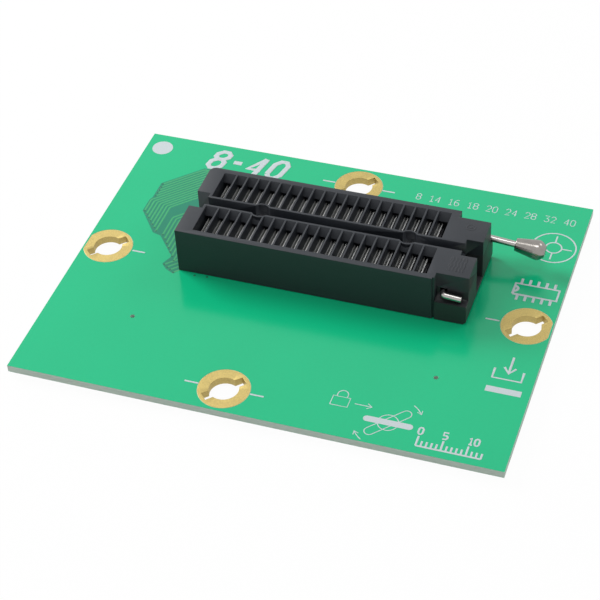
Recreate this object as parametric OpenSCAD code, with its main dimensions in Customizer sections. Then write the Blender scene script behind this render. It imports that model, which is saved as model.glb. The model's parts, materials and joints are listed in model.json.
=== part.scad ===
// Socket card with a lever-operated zero-insertion-force socket.
// Millimetres. X runs along the card, Y towards its rear, +Z up. The origin is the
// bottom centre of the bounding box: under the card's middle, at the solder tips.

/* [Card] */
// length of the card along X
card_len = 104.8; // [100:0.1:115]
// width of the card along Y
card_wid = 81.1; // [76:0.1:90]
// thickness of the glass-epoxy laminate
card_t = 1.6; // [1.2:0.1:2.4]
// thickness of each solder-mask film
mask_t = 0.04; // [0.02:0.01:0.08]
// radius of the two locating holes near the front corners
locating_hole_r = 0.5; // [0.4:0.05:0.8]
// distance of the locating holes from the card's side edges
locating_hole_inset = 19.3; // [14:0.1:22]
// distance of the locating holes from the front edge
locating_hole_front = 20.9; // [16:0.1:22]

/* [Clip holes] */
// outer radius of each gold ring
ring_r = 5.44; // [5.1:0.02:5.8]
// radius of the clip hole's round wall
clip_hole_r = 3.1; // [2.8:0.05:3.3]
// width of the two key slots
key_slot_w = 2.1; // [1.6:0.05:2.3]
// distance from the hole's centre to the end of a key slot
key_slot_reach = 4.6; // [4:0.05:4.8]
// direction of the key slots, in degrees from X
key_slot_angle = 45; // [30:1:60]
// copper and gold plating thickness on ring faces and hole walls
plating_t = 0.06; // [0.03:0.01:0.1]
// distance of the side rings' centres from the side edges
side_ring_inset = 5.35; // [5:0.05:7]
// distance of the front and rear rings' centres from those edges
end_ring_inset = 6.12; // [5.8:0.05:8]
// how far the front ring sits left of the middle, which keys the card
front_ring_shift = 7.0; // [4:0.1:12]
// bare laminate left between a ring's cut edge and the card's edge
ring_edge_gap = 0.4; // [0.3:0.05:0.6]

/* [Socket] */
// socket centre, to the right of the card's middle
socket_x = 2.93; // [-2:0.01:5]
// socket centre, behind the card's middle
socket_y = 8.03; // [2:0.01:12]
// length of the moulded housing
housing_len = 63.9; // [62.5:0.1:66]
// width of the moulded housing
housing_wid = 22.57; // [22:0.01:24]
// height of the housing's top above the card
housing_h = 11.23; // [10.9:0.01:12]
// contact pairs in each row
row_count = 20; // [12:1:20]
// distance between neighbouring contacts
pitch = 2.54; // [2.54:0.01:2.56]
// how far the contact rows sit left of the housing's middle
row_shift = 2.54; // [2.3:0.01:2.7]
// distance between the two rows of solder tails
tail_rows = 15.24; // [14.6:0.02:15.6]
// inner end of a slot, from the housing's centre line
slot_in = 1.72; // [1.65:0.01:1.9]
// outer end of a slot, from the housing's centre line
slot_out = 9.95; // [9.7:0.01:10]
// thickness of the walls between slots
divider_t = 0.4; // [0.3:0.01:0.45]
// extra length of the first and the last slot
end_slot_extra = 0.55; // [0.3:0.01:0.6]
// height of the ledge in that extra length of the last slot, above the card
end_ledge = 8.6; // [8.4:0.05:9.5]
// half width of the channel between the two rows
channel_half = 1.17; // [0.9:0.01:1.25]
// height of the channel's floor above the card
channel_floor = 6.2; // [5.6:0.1:6.6]
// half width of the channel's wide ends
wide_half = 2.57; // [2.5:0.01:2.8]
// length of the wide end on the left
wide_left = 3.05; // [2.5:0.05:3.4]
// length of the wide end on the right
wide_right = 3.55; // [3:0.05:3.8]
// distance of each cover screw from the housing's middle
screw_x = 16.43; // [15.5:0.01:17.5]
// radius of the round wells around the screws
well_r = 1.95; // [1.8:0.05:2]

/* [Lever end] */
// length of the housing's narrowed lever end
recess_len = 6.88; // [6.6:0.02:7]
// depth of the lever recess on each side
recess_depth = 2.07; // [2:0.01:2.2]
// top of the base's foot under the lever
foot_top = 5.0; // [4.5:0.05:5.05]
// height of the lever's shaft above the card
shaft_z = 6.45; // [6.42:0.01:6.5]
// distance of the shaft from the housing's lever end
shaft_inset = 5.28; // [5.2:0.01:5.4]
// diameter of the lever's wire
wire_d = 1.45; // [1.35:0.01:1.48]
// distance of both lever arms from the housing's centre line
arm_y = 10.3; // [10.25:0.01:10.4]
// radius of the wire's bends, on its centre line
bend_r = 0.85; // [0.8:0.01:1.25]
// reach of the short front arm from the shaft
short_arm = 4.1; // [3.5:0.05:4.2]
// how far the closed lever droops below level, in degrees
lever_droop = 5.5; // [3:0.1:5.8]
// swing from closed to open, in degrees
lever_swing = 95; // [90:1:96]
// slider travel between closed and open
travel = 0.75; // [0.6:0.01:0.8]
// distance from the shaft to the knob's small end
knob_start = 10.5; // [10:0.1:12]
// length of the knob
knob_len = 6.5; // [6.2:0.1:7.5]
// radius of the knob's small end
knob_small_r = 1.42; // [1.3:0.02:1.6]
// radius of the knob's large end
knob_large_r = 2.2; // [2:0.02:2.5]

/* [Contacts] */
// length of the solder joints and tails under the card
tail_out = 1.2; // [1.1:0.05:1.5]
// thickness of the contact sheet
sheet_t = 0.18; // [0.15:0.01:0.2]
// top of the contact blades above the card
blade_top = 8.4; // [8.1:0.05:8.6]
// gap between a closed pair of blades
blade_gap = 0.27; // [0.22:0.01:0.29]
// centre of a blade pair, left of the slot's centre
pair_shift = 0.635; // [0.62:0.005:0.65]
// thickness of the slider's ribs
rib_t = 0.4; // [0.35:0.01:0.42]
// top of the slider's ribs above the card
rib_top = 7.3; // [7:0.05:7.5]

/* [Hidden] */

$fn = 48;
slack = 0.02;
card_z = tail_out;
top_z = card_z + card_t;
ring_spots = [[-card_len/2 + side_ring_inset, 0], [card_len/2 - side_ring_inset, 0],
    [0, card_wid/2 - end_ring_inset], [-front_ring_shift, -card_wid/2 + end_ring_inset]];
hole_r = 0.5;
pad_r = 0.9;
mask_gap = 0.08;
land_count = 20;
land_pitch = 1.27;
land_size = [3, 0.8];
land_gap = 0.6;
land_step = 5;
land_x0 = -card_len/2 + side_ring_inset + ring_r + land_gap + land_size[0]/2;
land_x = [land_x0, land_x0 + land_step];
land_y = 6;

half_len = housing_len/2;
half_wid = housing_wid/2;
neck_half = half_wid - recess_depth;
recess_x = half_len - recess_len;
shaft_x = half_len - shaft_inset;
wire_r = wire_d/2;
row_room = [4.0, 2.2];
slots = min(row_count, floor((housing_len - recess_len - row_room[0] - row_room[1])/pitch));
row_half = slots*pitch/2 - divider_t/2 + end_slot_extra;
skirt_t = 1.1;
skirt_z = 0.15;
roof_z = 4.3;
parting_z = 7.35;
part_gap = 0.05;
side_gap = 0.1;
floor_z = 0.5;
floor_top = 2.2;
plate_z = 2.6;
plate_top = 4.0;
fit = 0.05;
crank_r = travel/(2*sin(lever_swing/2));
crank_dx = -travel/2;
crank_dz = -crank_r*cos(lever_swing/2);
crank_half = 1.75;
cheek_end = 2.45;
jaw_t = 1.0;
jaw_half = 1.6;
jaw_top = 6.9;
yoke_x = shaft_x + crank_dx;
pair_x = -pair_shift;
fixed_x = pair_x - blade_gap/2 - sheet_t;
spring_x = pair_x + blade_gap/2;
blade_out = 9.3;
well_wall = 0.35;
blade_in = well_r + well_wall + 0.1;
rib_in = blade_in + 0.05;
rib_out = blade_out + 0.2;
flare = 0.1;
flare_z = blade_top - 0.8;
tail_y = tail_rows/2;
tail_size = [0.25, 0.5];
tail_x = fixed_x + sheet_t + blade_gap/2 - tail_size[0]/2;
bridge_h = 0.25;
rib_x = spring_x + sheet_t + 0.1;
screw_r = 0.8;
head_r = 1.6;
head_h = 1.0;
boss_r = 1.3;
comb_end = recess_x - skirt_t - travel - 0.2;
clear = 0.15;

function slot_x(i) = -row_shift + (i - (slots - 1)/2)*pitch;

// Places its children at the socket's centre, on the card's top face.
module at_socket() {
    translate([socket_x, socket_y, top_z]) children();
}

// A box centred on Y, between two X and two Z values.
module span(x0, x1, half_y, z0, z1) {
    translate([x0, -half_y, z0]) cube([x1 - x0, 2*half_y, z1 - z0]);
}

// A rod of radius r along Y, centred on Y = 0.
module rod_y(r, half_y) {
    rotate([90, 0, 0]) cylinder(h = 2*half_y, r = r, center = true);
}

// Repeats its children at every slot of the front row (side -1) or rear row (side 1).
module each_slot(side) {
    for (i = [0:slots - 1])
        translate([slot_x(i), 0, 0]) scale_side(side) children();
}

module scale_side(side) {
    if (side < 0) mirror([0, 1, 0]) children();
    else children();
}

// Clip-hole outline: a round hole with two opposite key slots, grown by g.
module clip_outline(g = 0) {
    circle(r = clip_hole_r + g);
    rotate(key_slot_angle)
        square([2*(key_slot_reach + g), key_slot_w + 2*g], center = true);
}

// Outline of a ring's land; the card's edge cuts the side rings.
module ring_outline(spot, g = 0) {
    intersection() {
        translate(spot) circle(r = ring_r + g);
        square([card_len - 2*ring_edge_gap + 2*g, card_wid - 2*ring_edge_gap + 2*g],
            center = true);
    }
}

module tail_spots() {
    for (side = [-1, 1])
        for (i = [0:slots - 1])
            translate([socket_x + slot_x(i) + pair_x, socket_y + side*tail_y]) children();
}

module locating_spots() {
    for (side = [-1, 1])
        translate([side*(card_len/2 - locating_hole_inset), locating_hole_front - card_wid/2])
            children();
}

module land_spots() {
    for (x = land_x)
        for (i = [0:land_count - 1])
            translate([x, land_y + (i - (land_count - 1)/2)*land_pitch]) children();
}

module card_laminate() {
    color("#c9c793") translate([0, 0, card_z]) linear_extrude(card_t) difference() {
        square([card_len, card_wid], center = true);
        for (spot = ring_spots) translate(spot) clip_outline(plating_t);
        tail_spots() circle(r = hole_r, $fn = 24);
        locating_spots() circle(r = locating_hole_r);
    }
}

module mask_film(with_lands) {
    linear_extrude(mask_t) difference() {
        square([card_len, card_wid], center = true);
        for (spot = ring_spots) ring_outline(spot, mask_gap);
        tail_spots() circle(r = pad_r + mask_gap, $fn = 24);
        locating_spots() circle(r = locating_hole_r);
        if (with_lands) land_spots() square(land_size + 2*mask_gap*[1, 1], center = true);
    }
}

module mask_top() {
    color("#2fb27a") translate([0, 0, top_z]) mask_film(false);
}

module mask_bottom() {
    color("#2fb27a") translate([0, 0, card_z - mask_t]) mask_film(true);
}

// Gold-plated ring: a land on each face joined by the plated wall of the hole.
module clip_ring(spot) {
    color("#d7b46e") difference() {
        union() {
            for (z = [card_z - plating_t, top_z]) translate([0, 0, z])
                linear_extrude(plating_t) ring_outline(spot);
            translate([spot[0], spot[1], card_z]) linear_extrude(card_t) clip_outline(plating_t);
        }
        translate([spot[0], spot[1], 0]) linear_extrude(top_z + 1) clip_outline();
    }
}

module clip_ring_left() { clip_ring(ring_spots[0]); }
module clip_ring_right() { clip_ring(ring_spots[1]); }
module clip_ring_rear() { clip_ring(ring_spots[2]); }
module clip_ring_front() { clip_ring(ring_spots[3]); }

// Plated barrels with an annular land on each face, one for each contact tail.
module plated_holes() {
    color("#cdbb8a") tail_spots() difference() {
        union() {
            translate([0, 0, card_z]) cylinder(h = card_t, r = hole_r, $fn = 24);
            for (z = [card_z - plating_t, top_z]) translate([0, 0, z])
                cylinder(h = plating_t, r = pad_r, $fn = 24);
        }
        translate([0, 0, -1]) cylinder(h = top_z + 2, r = hole_r - plating_t, $fn = 24);
    }
}

// Gold contact lands on the card's hidden face.
module underside_lands() {
    color("#d7b46e") translate([0, 0, card_z - plating_t]) linear_extrude(plating_t)
        land_spots() square(land_size, center = true);
}

// Solder cones of one row, each closed round its tail.
module solder_row(side) {
    color("#c4c6c9") for (i = [0:slots - 1])
        translate([socket_x + slot_x(i) + pair_x, socket_y + side*tail_y, 0]) difference() {
            cylinder(h = tail_out - plating_t, r1 = 0.36, r2 = pad_r - 0.08, $fn = 24);
            translate([0, 0, tail_out/2]) cube([tail_size[0], tail_size[1], tail_out + 1],
                center = true);
        }
}

module solder_front() { solder_row(-1); }
module solder_rear() { solder_row(1); }

// Lower moulding: floor with tail holes and screw bosses, and the lever's end block.
module socket_base() {
    left = -half_len + skirt_t + side_gap;
    inner = half_wid - skirt_t - side_gap;
    step = recess_x - skirt_t - side_gap;
    color("#202226") at_socket() difference() {
        union() {
            span(left, step, inner, floor_z, floor_top);
            span(step - 1, recess_x + 1, neck_half - skirt_t - side_gap, floor_z, floor_top);
            span(recess_x + side_gap, half_len, half_wid, skirt_z, foot_top);
            span(recess_x + side_gap, half_len, neck_half, skirt_z, parting_z - part_gap);
            for (x = [left + 2, step - 2]) for (side = [-1, 1])
                translate([x, side*(tail_y - 2.2), mask_t]) cylinder(h = floor_z, r = 1.0);
            for (x = [-screw_x, screw_x])
                translate([x, 0, floor_top - slack]) cylinder(h = roof_z - floor_top, r = boss_r);
        }
        for (side = [-1, 1]) each_slot(side)
            translate([tail_x - fit, tail_y - tail_size[1]/2 - fit, 0])
                cube([tail_size[0] + 2*fit, tail_size[1] + 2*fit, floor_top + 1]);
        for (x = [-screw_x, screw_x])
            translate([x, 0, floor_z + 0.3]) cylinder(h = roof_z, r = screw_r);
        // trough for the slider's yoke, open at the end face
        span(recess_x, half_len + 1, wide_half, floor_top - 0.6, housing_h);
        // open-topped bearing for the lever's shaft
        translate([shaft_x, 0, shaft_z]) rod_y(wire_r + fit, half_wid + 1);
        span(shaft_x - wire_r - fit, shaft_x + wire_r + fit, half_wid + 1, shaft_z, housing_h);
        // lead-in that rounds the foot's lower corner
        translate([half_len, 0, skirt_z]) rotate([0, 45, 0])
            cube([0.9, housing_wid + 2, 0.9], center = true);
    }
}

// Upper moulding: slotted deck, channel, screw wells, skirts and the narrowed lever end.
module socket_cover() {
    color("#26282c") at_socket() difference() {
        union() {
            span(-half_len, recess_x, half_wid, skirt_z, housing_h);
            span(recess_x - 1, half_len, neck_half, parting_z, housing_h);
        }
        // cavity under the deck
        span(-half_len + skirt_t, recess_x - skirt_t, half_wid - skirt_t, 0, roof_z);
        span(0, recess_x + slack, neck_half - skirt_t, 0, roof_z);
        // room for the yoke beside the shaft
        span(yoke_x - wire_r - fit - jaw_t - 0.3, recess_x + slack, wide_half, 0, parting_z + 0.02);
        deck_slots();
        // channel, higher over the yoke, and its wide ends
        span(-half_len - 1, comb_end + 0.4, channel_half, channel_floor, housing_h + 1);
        span(0, half_len + 1, channel_half, parting_z + 1.15, housing_h + 1);
        span(-half_len - 1, -half_len + wide_left, wide_half, channel_floor, housing_h + 1);
        span(half_len - wide_right, half_len + 1, wide_half, 0, housing_h + 1);
        for (x = [-screw_x, screw_x]) translate([x, 0, 0]) {
            translate([0, 0, channel_floor]) cylinder(h = housing_h, r = well_r);
            cylinder(h = housing_h, r = screw_r + fit);
        }
        // rounded rear corner at the left end
        rear_corner(1.5);
    }
}

// Slots of both rows, cut through the deck but not through the walls of the screw wells.
module deck_slots() {
    difference() {
        for (side = [-1, 1]) scale_side(side) {
            translate([-row_shift - row_half, slot_in, 0])
                cube([2*row_half - end_slot_extra, slot_out - slot_in, housing_h + 1]);
            // ledge beside the last slot
            translate([-row_shift - row_half, slot_in, end_ledge])
                cube([2*row_half, slot_out - slot_in, housing_h]);
        }
        for (i = [0:slots - 2])
            span(slot_x(i) + pitch/2 - divider_t/2, slot_x(i) + pitch/2 + divider_t/2,
                half_wid, roof_z, housing_h + 2);
        for (x = [-screw_x, screw_x])
            translate([x, 0, roof_z]) cylinder(h = housing_h, r = well_r + well_wall);
    }
}

module rear_corner(r) {
    translate([-half_len, half_wid, -1]) difference() {
        translate([-1, -r, 0]) cube([r + 1, r + 1, housing_h + 3]);
        translate([r, -r, -1]) cylinder(h = housing_h + 5, r = r);
    }
}

// Pan-head screw with a cross recess.
module cover_screw(x) {
    color("#b9bcc0") at_socket() translate([x, 0, 0]) difference() {
        union() {
            translate([0, 0, floor_z + 0.4])
                cylinder(h = channel_floor - floor_z - 0.4 + slack, r = screw_r);
            translate([0, 0, channel_floor]) cylinder(h = head_h*0.6, r = head_r);
            translate([0, 0, channel_floor + head_h*0.6])
                cylinder(h = head_h*0.4, r1 = head_r, r2 = head_r*0.7);
        }
        for (a = [0, 90]) rotate(a)
            translate([-head_r*0.6, -0.2, channel_floor + head_h*0.4])
                cube([head_r*1.2, 0.4, head_h]);
    }
}

module screw_left() { cover_screw(-screw_x); }
module screw_right() { cover_screw(screw_x); }

// Blade profile in X and Z, from z0 up, flared away from the pair's gap at the top.
module blade(x, z0, lean) {
    translate([0, blade_out, 0]) rotate([90, 0, 0]) linear_extrude(blade_out - blade_in)
        polygon([[x, z0], [x + sheet_t, z0], [x + sheet_t, flare_z],
            [x + sheet_t + lean*flare, blade_top], [x + lean*flare, blade_top], [x, flare_z]]);
}

// Fixed blades of one row, each with its bridge and its solder tail.
module fixed_row(side) {
    color("#c8b68a") at_socket() each_slot(side) {
        blade(fixed_x, floor_top, -1);
        translate([fixed_x, tail_y - 0.7, floor_top])
            cube([2*sheet_t + blade_gap, 1.4, bridge_h]);
        translate([tail_x, tail_y - tail_size[1]/2, -top_z])
            cube([tail_size[0], tail_size[1], top_z + floor_top + slack]);
    }
}

module fixed_blades_front() { fixed_row(-1); }
module fixed_blades_rear() { fixed_row(1); }

// Spring blades of one row, standing on the bridges.
module spring_row(side) {
    color("#d3c396") at_socket() each_slot(side)
        blade(spring_x, floor_top + bridge_h, 1);
}

module spring_blades_front() { spring_row(-1); }
module spring_blades_rear() { spring_row(1); }

// Slider: a windowed plate with one rib beside each spring blade, and a yoke for the crank.
module slider_comb() {
    window_x = fixed_x - travel - clear;
    plate_half = half_wid - skirt_t - 0.2;
    gap = wire_r + 0.06;
    color("#2b2d31") at_socket() {
        difference() {
            union() {
                span(-row_shift - row_half - 0.9, comb_end, plate_half, plate_z, plate_top);
                span(comb_end - 1, half_len - 1.5, wide_half - 0.25, plate_z, plate_top);
            }
            for (side = [-1, 1]) each_slot(side)
                translate([window_x, blade_in - 0.25, 0])
                    cube([rib_x - window_x, rib_out - blade_in + 0.25, plate_top + 1]);
            for (x = [-screw_x, screw_x]) for (dx = [0, -travel])
                translate([x + dx, 0, 0]) cylinder(h = plate_top + 1, r = boss_r + clear);
            for (x = [-screw_x, screw_x])
                span(x - travel, x, boss_r + clear, 0, plate_top + 1);
        }
        for (side = [-1, 1]) each_slot(side)
            translate([rib_x, rib_in, plate_top - slack])
                cube([rib_t, rib_out - rib_in, rib_top - plate_top + slack]);
        span(yoke_x - gap - jaw_t, yoke_x - gap, jaw_half, plate_top - slack, jaw_top);
        span(yoke_x + gap, yoke_x + gap + jaw_t, jaw_half, plate_top - slack, jaw_top);
    }
}

// Quarter bend in the XY plane from the shaft's end into an arm along +X.
module wire_bend() {
    translate([bend_r, arm_y - bend_r, 0]) rotate(90)
        rotate_extrude(angle = 90) translate([bend_r, 0]) circle(r = wire_r);
}

// One arm: shaft end, bend and straight wire out to the given reach.
module wire_arm(reach) {
    rotate([-90, 0, 0]) translate([0, 0, crank_half]) cylinder(h = arm_y - bend_r - crank_half,
        r = wire_r);
    wire_bend();
    translate([bend_r, arm_y, 0]) rotate([0, 90, 0]) cylinder(h = reach - bend_r, r = wire_r);
}

// Places its children in the drooping closed pose, about the shaft.
module on_lever() {
    at_socket() translate([shaft_x, 0, shaft_z]) rotate([0, lever_droop, 0]) children();
}

// One bent wire: crank in the middle, short arm in front, long arm at the rear.
module lever_wire() {
    color("#c9ccd1") {
        on_lever() {
            wire_arm(knob_start + knob_len - 1);
            mirror([0, 1, 0]) wire_arm(short_arm);
        }
        at_socket() translate([shaft_x, 0, shaft_z]) {
            translate([crank_dx, 0, crank_dz]) rod_y(wire_r, cheek_end);
            for (side = [-1, 1]) scale_side(side) crank_cheek();
        }
    }
}

// Flattened web that joins the crank pin to the shaft.
module crank_cheek() {
    translate([0, cheek_end, 0]) rotate([90, 0, 0]) linear_extrude(cheek_end - crank_half)
        union() {
            circle(r = wire_r);
            translate([crank_dx, crank_dz]) circle(r = wire_r);
            rotate(atan2(crank_dz, crank_dx)) translate([0, -wire_r])
                square([crank_r, wire_d]);
        }
}

// Turned knob, tapered towards the wire, with a coned end.
module lever_knob() {
    color("#bfc2c6") on_lever() translate([knob_start, arm_y, 0]) rotate([0, 90, 0])
        rotate_extrude() polygon([[wire_r, 0], [knob_small_r, 0],
            [knob_large_r, knob_len*0.7], [knob_large_r, knob_len*0.77],
            [knob_large_r*0.55, knob_len], [0, knob_len], [0, knob_len - 1],
            [wire_r, knob_len - 1]]);
}

card_laminate();
mask_top();
mask_bottom();
clip_ring_left();
clip_ring_right();
clip_ring_rear();
clip_ring_front();
plated_holes();
underside_lands();
solder_front();
solder_rear();
socket_base();
socket_cover();
screw_left();
screw_right();
fixed_blades_front();
fixed_blades_rear();
spring_blades_front();
spring_blades_rear();
slider_comb();
lever_wire();
lever_knob();
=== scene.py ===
"""Dresses a printed socket card with a lever-operated zero-insertion-force socket.

Lengths in the property groups are millimetres; meshes are built in metres.
"""

import json
import math

import bmesh
import bpy
from mathutils import Matrix, Vector


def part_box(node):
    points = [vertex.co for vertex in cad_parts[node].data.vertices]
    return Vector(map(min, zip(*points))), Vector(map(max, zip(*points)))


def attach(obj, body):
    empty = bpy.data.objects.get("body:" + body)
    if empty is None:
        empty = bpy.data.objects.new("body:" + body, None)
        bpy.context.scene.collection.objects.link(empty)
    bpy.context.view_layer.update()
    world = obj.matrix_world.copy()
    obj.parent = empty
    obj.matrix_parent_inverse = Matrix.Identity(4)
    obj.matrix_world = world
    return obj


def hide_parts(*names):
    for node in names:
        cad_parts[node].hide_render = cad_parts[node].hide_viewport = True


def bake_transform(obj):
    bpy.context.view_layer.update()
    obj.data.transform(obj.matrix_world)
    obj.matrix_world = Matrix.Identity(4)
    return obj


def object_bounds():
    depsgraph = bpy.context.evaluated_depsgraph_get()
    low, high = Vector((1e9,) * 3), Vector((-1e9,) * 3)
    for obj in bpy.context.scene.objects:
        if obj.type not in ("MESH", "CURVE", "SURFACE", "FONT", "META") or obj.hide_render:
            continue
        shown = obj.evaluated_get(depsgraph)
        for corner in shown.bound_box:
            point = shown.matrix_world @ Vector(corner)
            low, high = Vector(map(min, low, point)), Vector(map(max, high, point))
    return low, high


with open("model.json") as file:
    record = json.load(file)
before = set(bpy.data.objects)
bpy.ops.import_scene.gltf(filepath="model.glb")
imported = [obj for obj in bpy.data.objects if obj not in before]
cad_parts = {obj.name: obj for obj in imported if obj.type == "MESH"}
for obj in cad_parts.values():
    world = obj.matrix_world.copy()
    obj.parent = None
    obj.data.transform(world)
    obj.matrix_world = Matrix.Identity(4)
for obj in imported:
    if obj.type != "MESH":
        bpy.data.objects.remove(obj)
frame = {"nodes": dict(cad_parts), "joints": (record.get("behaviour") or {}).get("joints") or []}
cad_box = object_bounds()

bl_info = {
    "name": "Socket Card",
    "version": (1, 0, 0),
    "blender": (4, 5, 0),
    "location": "3D View > Sidebar > Socket Card",
    "description": "Dresses a printed card that carries a lever-operated socket",
    "category": "Object",
}

MM = 0.001
CARD_BODY = "socket_card"
SLIDER_BODY = "slider"
LEVER_BODY = "lever"

WELD = 1e-7  # metres within which two vertices are one
SAME = 1e-6  # metres within which two edges lie at the same place
CONTACTS = 20  # in each of the two rows

# Places that the frame gives, in metres.
CARD_LOW, CARD_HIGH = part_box("card_laminate")
MASK_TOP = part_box("mask_top")[1].z
COVER_LOW, COVER_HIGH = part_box("socket_cover")
BASE_LOW, BASE_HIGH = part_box("socket_base")
LEVER_JOINT = next(j for j in frame["joints"] if j["name"] == "lever_hinge")
SHAFT = Vector(LEVER_JOINT["pos_m"])


def on_card(x, y, z=MASK_TOP):
    """A point x and y millimetres from the card's front left corner, at height z in metres."""
    return Vector((CARD_LOW.x + x * MM, CARD_LOW.y + y * MM, z))


# ---------------------------------------------------------------- properties


def amount(name, description, default, **limits):
    """A number with its limits and subtype."""
    return bpy.props.FloatProperty(name=name, description=description, default=default, **limits)


def length(name, description, default):
    """A length in millimetres."""
    return amount(name, description, default, min=0.0, subtype="DISTANCE")


def angle(name, description, degrees):
    """An angle, whose default is given in degrees."""
    return amount(name, description, math.radians(degrees), subtype="ANGLE")


def power(name, description, default):
    """A lamp's power in watts."""
    return amount(name, description, default, min=0.0, subtype="POWER")


def colour(name, description, default):
    """A linear colour."""
    return bpy.props.FloatVectorProperty(
        name=name, description=description, default=default, size=3, min=0.0, max=1.0, subtype="COLOR"
    )


class SOCKETCARD_PG_card(bpy.types.PropertyGroup):
    mask: colour("Solder mask", "Colour of the mask over the copper pour", (0.004, 0.50, 0.225))
    bare_mask: colour("Mask over laminate", "Colour of the mask with no copper under it", (0.008, 0.235, 0.138))
    trace_mask: colour("Mask over traces", "Colour of the mask raised by a trace", (0.04, 0.40, 0.155))
    via_mask: colour("Mask over vias", "Colour of the mask that closes a via", (0.01, 0.17, 0.085))
    laminate: colour("Laminate", "Colour of the cut edge between the glass layers", (0.66, 0.78, 0.70))
    glass: colour("Glass layers", "Colour of the glass cloth in the cut edge", (0.38, 0.46, 0.38))
    gold: colour("Gold", "Colour of the plated rings and lands", (0.53, 0.42, 0.16))
    solder: colour("Solder", "Colour of the solder joints", (0.72, 0.73, 0.75))
    ink: colour("Ink", "Colour of the printed marks", (0.585, 0.65, 0.675))
    ring_edge: length("Ring edge", "Radius of the rings' plated edges", 0.03)
    trace_width: length("Trace width", "Width of a trace under the mask", 0.42)
    bare_height: length("Bare height", "How far the mask over bare laminate stands proud", 0.003)
    trace_height: length("Trace height", "How far a trace lifts the mask", 0.022)
    trace_bend: length("Trace bend", "Radius of a trace's bends", 0.5)
    via_radius: length("Via radius", "Radius of a covered via", 0.27)
    via_height: length("Via height", "How far a covered via lifts the mask", 0.0352)
    ink_height: length("Ink height", "Thickness of the printed ink", 0.015)


class SOCKETCARD_PG_socket(bpy.types.PropertyGroup):
    cover: colour("Cover", "Colour of the upper moulding", (0.021, 0.025, 0.032))
    base: colour("Base", "Colour of the lower moulding", (0.022, 0.023, 0.026))
    slider: colour("Slider", "Colour of the slider comb", (0.045, 0.046, 0.052))
    contact: colour("Contacts", "Colour of the contact blades", (0.95, 0.96, 0.94))
    screw: colour("Screws", "Colour of the cover screws", (0.72, 0.72, 0.74))
    edge: length("Edge radius", "Radius of the mouldings' edges", 0.07)
    slot_pitch: length("Slot pitch", "Distance between neighbouring slots", 2.54)
    slot_first: amount(
        "First slot", "Left wall of the first slot, from the card's middle", -25.36, subtype="DISTANCE"
    )
    slot_end_width: length("End slot width", "Width of the first and the last slot", 2.69)
    divider: length("Divider", "Thickness of the walls between slots", 0.4)
    slot_in: length("Slot inner end", "From the socket's centre line to a slot's inner end", 1.72)
    slot_out: length("Slot outer end", "From the socket's centre line to a slot's outer end", 9.95)
    ramp_depth: length("Guide depth", "How far the sloping guides reach down a slot", 1.75)
    ramp_reach: length("Guide reach", "How far the sloping guides reach into a slot", 1.1)
    end_block: length("End block", "Length of the lever's end block, with its joint line", 6.88)
    slit: length("Slit", "Width and depth of the slit before the end block", 0.45)
    bead: length("Bead", "Radius of the rolled tops of the spring blades", 0.16)
    fixed_bead: length("Fixed bead", "Radius of the rolled tops of the fixed blades", 0.11)
    head: length("Screw head", "Radius of the screws' rounded heads", 1.6)
    head_rise: length("Head rise", "Height of the rounded heads", 2.3)
    sheet: length("Sheet", "Thickness of the contact blades", 0.18)
    lip: length("Lip", "How far a blade's top leans away from its partner", 0.1)
    lip_height: length("Lip height", "Height of the leaning top of a blade", 0.8)


class SOCKETCARD_PG_lever(bpy.types.PropertyGroup):
    wire_colour: colour("Wire", "Colour of the drawn wire", (0.40, 0.385, 0.37))
    knob_colour: colour("Knob", "Colour of the turned knob", (0.31, 0.29, 0.27))
    wire: length("Wire diameter", "Diameter of the lever's wire", 1.45)
    arm: length("Arm offset", "Distance of the arms from the socket's centre line", 10.3)
    bend: length("Bend radius", "Radius of the wire's bends, on its centre line", 0.78)
    short_arm: length("Short arm", "Reach of the front arm from the shaft", 4.1)
    knob_start: length("Knob start", "Distance from the shaft to the knob", 10.5)
    knob_length: length("Knob length", "Length of the knob", 6.5)
    knob_small: length("Small radius", "Radius of the knob's inner end", 1.42)
    knob_large: length("Large radius", "Radius of the knob's outer end", 2.2)
    travel: length("Slider travel", "How far the crank moves the slider", 0.75)
    crank_half: length("Crank half width", "Half the length of the crank's straight pin", 1.75)
    cheek: length("Cheek", "Distance from the centre line to the crank's outer cheek", 2.45)
    droop: angle("Droop", "How far the closed lever droops below level", 5.5)



class SOCKETCARD_PG_stage(bpy.types.PropertyGroup):
    key_power: power("Key power", "Power of the lamp on the left", 5.2)
    side_power: power("Side power", "Power of the lamp behind on the right", 0.6)
    top_power: power("Top power", "Power of the lamp overhead", 1.2)
    world: amount("World strength", "Strength of the even light all round", 0.46, min=0.0)
    dusk: amount("Dusk", "What is left of that light low down in front", 0.2, min=0.0, max=1.0)
    lens: length("Lens", "Focal length of the camera", 109.1)
    distance: length("Distance", "Distance from the camera to its aim", 384.6)
    azimuth: angle("Azimuth", "Direction of the camera round the card", 21.05)
    elevation: angle("Elevation", "Height of the camera above the horizon", 42.46)
    roll: angle("Roll", "Turn of the camera about its view", 3.54)


def looks():
    """The scene's properties, by group."""
    return bpy.context.scene.socket_card


# ---------------------------------------------------------------- node maths


def maths(operation, swapped=False):
    """An operator of Signal that adds a Math node."""

    def act(self, other):
        values = (other, self) if swapped else (self, other)
        return self.nodes.node("ShaderNodeMath", {"operation": operation}, *values)

    return act


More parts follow.
